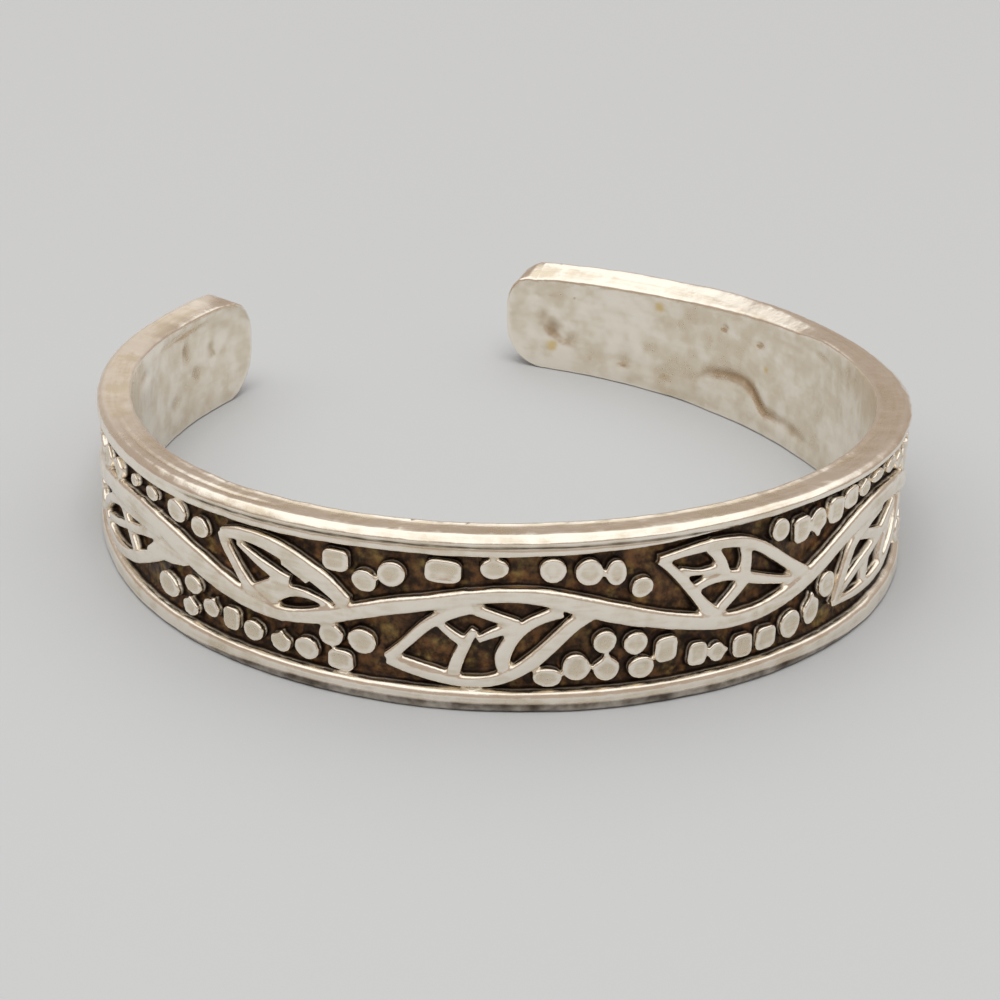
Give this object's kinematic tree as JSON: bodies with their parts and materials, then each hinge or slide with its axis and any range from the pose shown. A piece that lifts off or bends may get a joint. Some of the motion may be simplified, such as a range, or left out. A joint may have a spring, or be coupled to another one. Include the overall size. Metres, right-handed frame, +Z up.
{
  "type": "toe ring",
  "caption": "Open adjustable toe ring, a tapered cast silver band with a raised vine, veined leaves and pebbles between two plain rails.",
  "frame": {"origin": "axis of the front arc's bore, at the base edge that the ring lies on", "axes": "+Z up along the bore's axis, -Y towards the middle of the decorated front, +Y towards the open ends, +X to the right seen from the front"},
  "size_m": [0.0176, 0.0187, 0.0038],
  "materials": {
    "silver": "cast sterling silver, worn bright on the raised work and oxidised brown black in the ground"
  },
  "bodies": {
    "root": {"toe_ring": "silver"}
  },
  "joints": []
}
